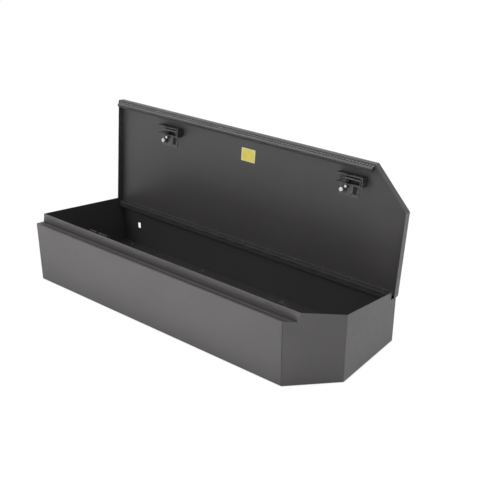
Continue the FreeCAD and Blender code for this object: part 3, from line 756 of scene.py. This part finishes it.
class LOCKBOX_OT_make_seal(bpy.types.Operator):
    """Make the bulb seal with its gripping pads on the lid's front lip"""

    bl_idname = "lockbox.make_seal"
    bl_label = "Make Bulb Seal"

    def execute(self, context):
        finish = context.scene.lockbox_finish
        trim = context.scene.lockbox_trim
        matrix = lid_matrix(trim)
        low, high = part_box("front_edge_seal")
        left, right = low[0], high[0]
        mesh = bmesh.new()
        self.sweep_bulb(mesh, matrix, trim, left, right)
        bulb_faces = len(mesh.faces)
        self.sweep_channel(mesh, matrix, trim, left, right)
        carrier_faces = len(mesh.faces)
        self.lay_pads(mesh, matrix, trim, left, right)
        for i, face in enumerate(mesh.faces):
            face.material_index = int(i >= bulb_faces) + int(i >= carrier_faces)
        # The bulb's upper side, facing this way, is painted paler as a highlight for light from above
        up = -matrix.to_3x3().col[1]
        materials = [
            rubber("seal_rubber_extrusion", finish.rubber, finish.pale_rubber_and_top_light, up),
            # Near-black carrier: dark rubber, and painted shade in the slots between the pads
            rubber("seal_carrier_and_slot_shade_rubber", finish.dark_carrier_and_slot_shade),
            rubber("seal_pad_rubber", finish.pale_rubber_and_top_light),
        ]
        piece = finish_piece("front_edge_seal_dressed", mesh, "lid", materials)
        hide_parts("front_edge_seal")
        return {"FINISHED"}

    def sweep_bulb(self, mesh, matrix, trim, left, right):
        """Hollow bulb, slightly uneven along its length."""
        level = -trim.flange + trim.sheet / 2
        outer = []
        inner = []
        for i in range(BULB_STEPS + 1):
            x = left + (right - left) * i / BULB_STEPS
            sway = sum(reach * math.sin(i * pace + start) for reach, pace, start in BULB_SWAYS)
            centre = (trim.bulb_back + sway - SWAY_ROOM, level + sway)
            skin_line = circle(centre, trim.bulb_radius - SWAY_ROOM, BULB_SIDES)
            bore_line = circle(centre, trim.bulb_radius - trim.bulb_wall, BULB_SIDES)
            outer.append(swept_ring(mesh, matrix, skin_line, x))
            inner.append(swept_ring(mesh, matrix, bore_line, x))
        skin(mesh, outer)
        skin(mesh, inner)
        bridge(mesh, outer[0], inner[0])
        bridge(mesh, outer[-1], inner[-1])

    def sweep_channel(self, mesh, matrix, trim, left, right):
        """Channel that is pushed over the lip."""
        wall = CHANNEL_WALL
        nose = wall * 0.7
        shoulder = wall * 0.4
        near = trim.lip + SEAL_FIT
        leg = near - CHANNEL_LEG
        low = -trim.flange - SEAL_FIT
        high = -trim.flange + trim.sheet + SEAL_FIT
        section = [
            (leg, low), (leg, low - nose), (leg + shoulder, low - wall), (near + wall, low - wall),
            (near + wall, high + wall), (leg + shoulder, high + wall), (leg, high + nose), (leg, high),
            (near, high), (near, low),
        ]
        closed_skin(mesh, [swept_ring(mesh, matrix, section, x) for x in (left, right)])

    def lay_pads(self, mesh, matrix, trim, left, right):
        """Slanted gripping pads along the channel's outer leg."""
        base = -trim.flange - SEAL_FIT - CHANNEL_WALL
        near = trim.lip + SEAL_FIT - PAD_NEAR
        far = trim.lip + SEAL_FIT - PAD_FAR
        for i in range(int((right - left) / trim.pad_pitch)):
            x = left + trim.pad_pitch * (i + PAD_START)
            end = x + trim.pad_width
            lower = [(x, near), (end, near), (end + PAD_SLANT, far), (x + PAD_SLANT, far)]
            upper = [
                (x + PAD_BEVEL, near - PAD_BEVEL), (end - PAD_BEVEL, near - PAD_BEVEL),
                (end + PAD_SLANT - PAD_BEVEL, far + PAD_BEVEL), (x + PAD_SLANT + PAD_BEVEL, far + PAD_BEVEL),
            ]
            bottom = flat_ring(mesh, matrix, lower, base + PAD_ROOT)
            top = flat_ring(mesh, matrix, upper, base - PAD_RISE)
            closed_skin(mesh, [bottom, top])


class LOCKBOX_OT_make_sticker(bpy.types.Operator):
    """Make the blank sticker with its paler border"""

    bl_idname = "lockbox.make_sticker"
    bl_label = "Make Sticker"

    def execute(self, context):
        finish = context.scene.lockbox_finish
        trim = context.scene.lockbox_trim
        matrix = lid_matrix(trim)
        low, high = node_corners("blank_label")
        middle = matrix.inverted() @ ((low + high) / 2)
        tall = (high.z - low.z) / abs(math.sin(trim.lid_tilt)) - STICKER_TRIM
        q_low, q_high = middle.y - tall / 2, middle.y + tall / 2
        steps = (
            (0.0, 0.0), (FILM_BEVEL, FILM_THICKNESS), (trim.border, FILM_THICKNESS),
            (trim.border + FIELD_STEP, FIELD_HEIGHT),
        )
        mesh = bmesh.new()
        loops = []
        for inset, height in steps:
            corner = STICKER_CORNER - min(inset, CORNER_LOSS)
            loop = rounded(low.x + inset, high.x - inset, q_low + inset, q_high - inset, corner)
            loops.append(flat_ring(mesh, matrix, loop, -trim.sheet - height))
        field = closed_skin(mesh, loops)
        field.material_index = 1
        materials = [
            film("sticker_border_film", finish.sticker_border),
            film("sticker_field_film", finish.sticker),
        ]
        piece = finish_piece("blank_label_dressed", mesh, "lid", materials)
        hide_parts("blank_label")
        return {"FINISHED"}


class LOCKBOX_OT_make_notch_shadows(bpy.types.Operator):
    """Make the dark sheets that paint the shade showing through the notches of the lock plates"""

    bl_idname = "lockbox.make_notch_backs"
    bl_label = "Make Notch Shadows"

    def execute(self, context):
        finish = context.scene.lockbox_finish
        trim = context.scene.lockbox_trim
        matrix = lid_matrix(trim)
        # Dark sheets that paint the shade inside each notch
        coat = charcoal("notch_shadow_coat", finish)
        for side in SIDES:
            lock = matrix.inverted() @ Vector(JOINTS[side + "_key_turn"]["pos_m"])
            x_low = lock.x + trim.notch_offset
            x_high = x_low + trim.notch_width
            q_high = lock.y + trim.notch_below
            q_low = q_high - trim.notch_length
            mesh = bmesh.new()
            loops = []
            for inset, height in NOTCH_RINGS:
                loop = rounded(x_low + inset, x_high - inset, q_low + inset, q_high - inset, NOTCH_CORNER)
                loops.append(flat_ring(mesh, matrix, loop, -trim.sheet - height))
            closed_skin(mesh, loops)
            finish_piece(side + "_notch_shadow", mesh, "lid", [coat])
        return {"FINISHED"}


class LOCKBOX_OT_make_welds(bpy.types.Operator):
    """Make the weld beads of the box, painted darker as the shade of its corner seams, a bead painted near
    black as the shade of the seam at its cut-off corner, and beads along its ledge painted as a highlight
    line and a shade line
    """

    bl_idname = "lockbox.make_welds"
    bl_label = "Make Weld Beads"

    def execute(self, context):
        finish = context.scene.lockbox_finish
        trim = context.scene.lockbox_trim
        low, high = node_corners("front_panel")
        self.make_corner_beads(finish, trim, low, high)
        self.make_corner_seam(finish, trim, low, high)
        # Bead painted lighter along the ledge, a painted highlight line
        self.make_ledge_line("riser_foot_highlight_line", charcoal("highlight_line_coat", finish), trim, low, trim.highlight_line_back)
        # Bead painted near black in the crease at the riser's root, a painted shade line
        self.make_ledge_line("riser_root_seam", charcoal("root_shade_coat", finish), trim, low, trim.ledge_depth)
        return {"FINISHED"}

    def make_corner_beads(self, finish, trim, low, high):
        """Weld beads up the left front corner and both back corners."""
        back_low, back_high = node_corners("back_panel")
        sunk = trim.bead_radius * BEAD_SINK
        posts = [(low.x, low.y + sunk, high.z - FRONT_CLEAR)]
        for x in (back_low.x, back_high.x):
            posts.append((x, back_high.y - sunk, back_high.z - BACK_CLEAR))
        mesh = bmesh.new()
        for x, y, top in posts:
            bead(mesh, Vector((x, y, WELD_FOOT)), Vector((x, y, top)), trim.bead_radius, trim.bead_pitch)
        # The welds' coat is painted darker, a painted shade of the seams at the corners
        finish_piece("box_weld_beads", mesh, "box", [charcoal("weld_and_seam_shade_coat", finish)])

    def make_corner_seam(self, finish, trim, low, high):
        """Bead painted near black where the front meets the cut-off corner, a painted shade of the seam."""
        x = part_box("right_end_panel")[0][0]
        y = low.y + trim.seam_radius * SEAM_SINK
        start = Vector((x, y, WELD_FOOT))
        end = Vector((x, y, high.z - FRONT_CLEAR))
        mesh = bmesh.new()
        bead(mesh, start, end, trim.seam_radius, trim.bead_pitch)
        finish_piece("corner_seam", mesh, "box", [charcoal("seam_shade_coat", finish)])

    def make_ledge_line(self, name, coat, trim, low, back):
        """Bead in a line along the ledge, at a distance back from its front edge, in the coat given: a
        lighter coat paints a highlight line, a near-black one a shade line.
        """
        y = low.y + back * math.cos(trim.ledge_slope)
        z = trim.ledge_height - back * math.sin(trim.ledge_slope) + trim.sheet / 2
        left = low.x + trim.sheet
        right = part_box("right_end_panel")[0][0] + y - low.y - trim.sheet
        mesh = bmesh.new()
        bead(mesh, Vector((left, y, z)), Vector((right, y, z)), trim.ledge_line_radius, trim.bead_pitch)
        finish_piece(name, mesh, "box", [coat])


# Stage

class LOCKBOX_OT_set_stage(bpy.types.Operator):
    """Set the floor, the light and the camera"""

    bl_idname = "lockbox.set_stage"
    bl_label = "Set Stage"

    def execute(self, context):
        scene = context.scene
        stage = scene.lockbox_stage
        scene.view_settings.view_transform = "Standard"
        self.make_floor(stage)
        self.make_shade(stage)
        self.make_world(scene, stage)
        key = self.make_lamp("key_lamp", stage.key, math.pi)
        key.rotation_euler = (Vector(KEY_TARGET) - key.location).to_track_quat("-Z", "Y").to_euler()
        self.make_lamp("front_wash", stage.front_wash, stage.wash_spread)
        self.make_lamp("near_wash", stage.near_wash, stage.wash_spread)
        self.make_lamp("side_wash", stage.side_wash, stage.wash_spread)
        self.make_camera(scene, stage)
        return {"FINISHED"}

    def seen(self, tree):
        """One for rays from the camera, and for those that reflections and glass follow."""
        rays = add(tree, "ShaderNodeLightPath")
        total = rays.outputs["Is Camera Ray"]
        for name in ("Is Glossy Ray", "Is Transmission Ray"):
            total = combine(tree, "MAXIMUM", total, rays.outputs[name])
        return total

    def make_floor(self, stage):
        """Pale floor that shows white, with a dark line where the box meets it."""
        mesh = bmesh.new()
        bmesh.ops.create_grid(mesh, x_segments=1, y_segments=1, size=FLOOR_HALF)
        bmesh.ops.translate(mesh, verts=mesh.verts, vec=(0, 0, FLOOR_LEVEL))
        material, tree, shader = new_material("pale_floor")
        shader.inputs["Base Color"].default_value = opaque(stage.floor)
        shader.inputs["Roughness"].default_value = 0.9
        shader.inputs["Specular IOR Level"].default_value = 0.0
        glow = add(tree, "ShaderNodeEmission", strength=1 / stage.floor_white)
        near = add(tree, "ShaderNodeAmbientOcclusion", samples=8, distance=stage.contact)
        lit = combine(tree, "MULTIPLY", near.outputs["AO"], stage.floor_white)
        mix = add(tree, "ShaderNodeMixShader")
        feed(tree, combine(tree, "MULTIPLY", self.seen(tree), lit), mix.inputs["Fac"])
        feed(tree, shader.outputs["BSDF"], mix.inputs[1])
        feed(tree, glow.outputs["Emission"], mix.inputs[2])
        feed(tree, mix.outputs["Shader"], tree.nodes["Material Output"].inputs["Surface"])
        floor = place_object("floor", mesh_data("floor", mesh, [material]))

    def make_shade(self, stage):
        """Patch of unlit floor right under the box, which the bolt holes show."""
        low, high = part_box("floor_panel")
        outline = [
            (low[0], low[1]), (high[0] - SHADE_CORNER, low[1]), (high[0], low[1] + SHADE_CORNER),
            (high[0], high[1]), (low[0], high[1]),
        ]
        middle = ((low[0] + high[0]) / 2, (low[1] + high[1]) / 2)
        mesh = bmesh.new()
        corners = []
        for x, y in outline:
            inner_x = x + math.copysign(SHADE_INSET, middle[0] - x)
            inner_y = y + math.copysign(SHADE_INSET, middle[1] - y)
            corners.append(mesh.verts.new((inner_x, inner_y, SHADE_LEVEL)))
        mesh.faces.new(corners)
        material, tree, shader = new_material("shaded_floor")
        shaded = ramp(tree, noise(tree, scale=30), low=(0.05,) * 3, high=(0.08,) * 3)
        feed(tree, shaded, shader.inputs["Base Color"])
        shader.inputs["Emission Color"].default_value = (1, 1, 1, 1)
        shader.inputs["Emission Strength"].default_value = stage.under_box
        patch = place_object("shade", mesh_data("shade", mesh, [material]))

    def make_world(self, scene, stage):
        """Even light from all round, which the camera and reflections see as white."""
        world = bpy.data.worlds.new("soft_studio")
        world.use_nodes = True
        tree = world.node_tree
        background = tree.nodes["Background"]
        background.inputs["Color"].default_value = (1, 1, 1, 1)
        level = span(tree, self.seen(tree), stage.ambient, 1.0, start=0.0, end=1.0)
        feed(tree, level, background.inputs["Strength"])
        scene.world = world

    def make_lamp(self, name, power, spread):
        """Lamp that faces down until it is turned, so that the floor throws its light onto the box."""
        place, size = LAMPS[name]
        data = bpy.data.lights.new(name, "AREA")
        data.shape = "RECTANGLE"
        data.energy = power
        data.size, data.size_y = size
        data.spread = spread
        lamp = place_object(name, data)
        lamp.location = place
        lamp.visible_camera = False
        return lamp

    def make_camera(self, scene, stage):
        """Camera at the photograph's viewing angle."""
        camera = place_object("camera", bpy.data.cameras.new("camera"))
        camera.data.lens = stage.lens
        camera.data.sensor_width = SENSOR_WIDTH
        camera.data.sensor_fit = "HORIZONTAL"
        camera.location = stage.eye
        camera.rotation_euler = stage.aim
        scene.camera = camera


OPERATORS = (
    LOCKBOX_OT_set_stage,
    LOCKBOX_OT_coat_shell,
    LOCKBOX_OT_dress_hinge,
    LOCKBOX_OT_dress_latches,
    LOCKBOX_OT_make_screw_heads,
    LOCKBOX_OT_make_seal,
    LOCKBOX_OT_make_sticker,
    LOCKBOX_OT_make_notch_shadows,
    LOCKBOX_OT_make_welds,
)

GROUPS = {
    "lockbox_finish": LockboxFinish,
    "lockbox_trim": LockboxTrim,
    "lockbox_stage": LockboxStage,
}


class LOCKBOX_PT_pieces(bpy.types.Panel):
    """Lists the steps that dress the lockbox, and the values that they use"""

    bl_idname = "LOCKBOX_PT_pieces"
    bl_label = "Underseat Lockbox"
    bl_space_type = "VIEW_3D"
    bl_region_type = "UI"
    bl_category = "Lockbox"

    def draw(self, context):
        for step in OPERATORS:
            self.layout.operator(step.bl_idname)
        for name, group in GROUPS.items():
            values = getattr(context.scene, name)
            for key in group.__annotations__:
                self.layout.prop(values, key)


def register():
    for group in GROUPS.values():
        bpy.utils.register_class(group)
    for name, group in GROUPS.items():
        setattr(bpy.types.Scene, name, PointerProperty(type=group))
    for step in OPERATORS + (LOCKBOX_PT_pieces,):
        bpy.utils.register_class(step)


def unregister():
    for step in reversed(OPERATORS + (LOCKBOX_PT_pieces,)):
        bpy.utils.unregister_class(step)
    for name, group in GROUPS.items():
        delattr(bpy.types.Scene, name)
        bpy.utils.unregister_class(group)


def main():
    register()
    bpy.ops.lockbox.set_stage()
    bpy.ops.lockbox.coat_shell()
    bpy.ops.lockbox.dress_hinge()
    bpy.ops.lockbox.dress_latches()
    bpy.ops.lockbox.make_screw_heads()
    bpy.ops.lockbox.make_seal()
    bpy.ops.lockbox.make_sticker()
    bpy.ops.lockbox.make_notch_backs()
    bpy.ops.lockbox.make_welds()


if __name__ == "__main__":
    main()
